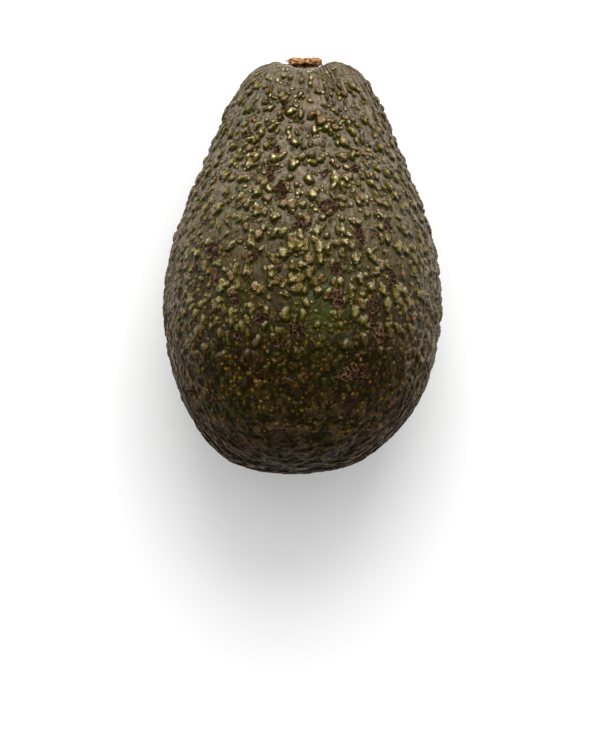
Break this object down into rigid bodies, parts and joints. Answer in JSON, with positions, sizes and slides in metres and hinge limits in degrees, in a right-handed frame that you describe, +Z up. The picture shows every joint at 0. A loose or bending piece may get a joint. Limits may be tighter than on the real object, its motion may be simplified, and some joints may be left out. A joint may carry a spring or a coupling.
{
  "type": "avocado",
  "caption": "Whole ripe pear-shaped avocado with a dark pebbled skin and a dry stalk button, lying on its side at rest on a small flat spot.",
  "frame": {"origin": "on the surface that the fruit rests on, under the middle of its bounding box", "axes": "+Y along the fruit towards its stem end, +Z up, +X to the right seen from above with the stem end at the top"},
  "size_m": [0.0704, 0.106, 0.0707],
  "materials": {
    "skin": "semi-gloss, pebbled, dark olive to brown-black with tan and golden tips",
    "stalk_bark": "matt, dry, fibrous and corky"
  },
  "bodies": {
    "root": {"fruit": "skin", "stem_button": "stalk_bark"}
  },
  "joints": []
}
